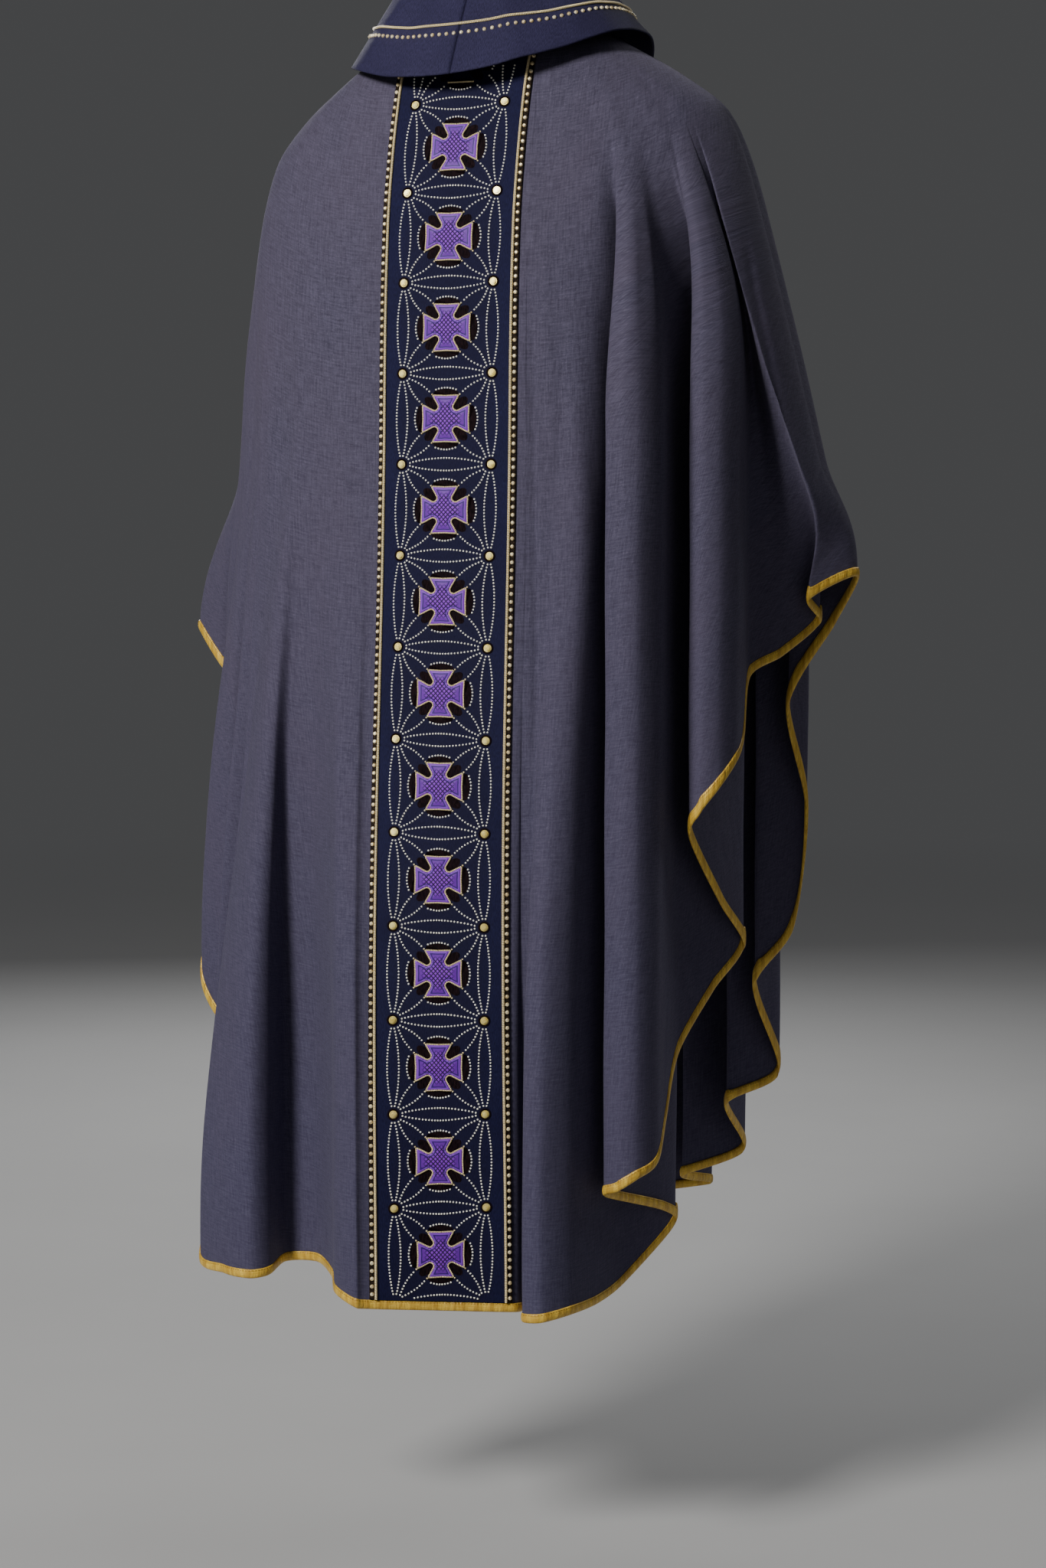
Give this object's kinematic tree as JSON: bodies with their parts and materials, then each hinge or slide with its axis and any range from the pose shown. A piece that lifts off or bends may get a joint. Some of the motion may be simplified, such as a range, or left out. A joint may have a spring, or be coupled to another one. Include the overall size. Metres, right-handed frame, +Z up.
{
  "type": "chasuble",
  "caption": "Hollow worn chasuble of slate-violet cloth: draped front and back panels with gold-bound edges, a navy turned-over collar and a navy back band with violet crosses.",
  "frame": {"origin": "middle of the neck opening at shoulder level, where the wearer's shoulders and neck hold the garment up", "axes": "+Z up, -Y out of the wearer's chest, -X toward the wearer's right hand"},
  "size_m": [0.6982, 0.5664, 1.2961],
  "materials": {
    "cloth": "heathered wool-like weave",
    "binding": "gold satin",
    "band": "navy satin",
    "cross": "violet satin",
    "collar": "navy satin"
  },
  "bodies": {
    "root": {"back_panel": "cloth", "front_panel": "cloth", "binding_back": "binding", "binding_front": "binding", "orphrey": "band", "cross_01": "cross", "cross_02": "cross", "cross_03": "cross", "cross_04": "cross", "cross_05": "cross", "cross_06": "cross", "cross_07": "cross", "cross_08": "cross", "cross_09": "cross", "cross_10": "cross", "cross_11": "cross", "cross_12": "cross", "cross_13": "cross", "collar_right": "collar", "collar_left": "collar"}
  },
  "joints": []
}
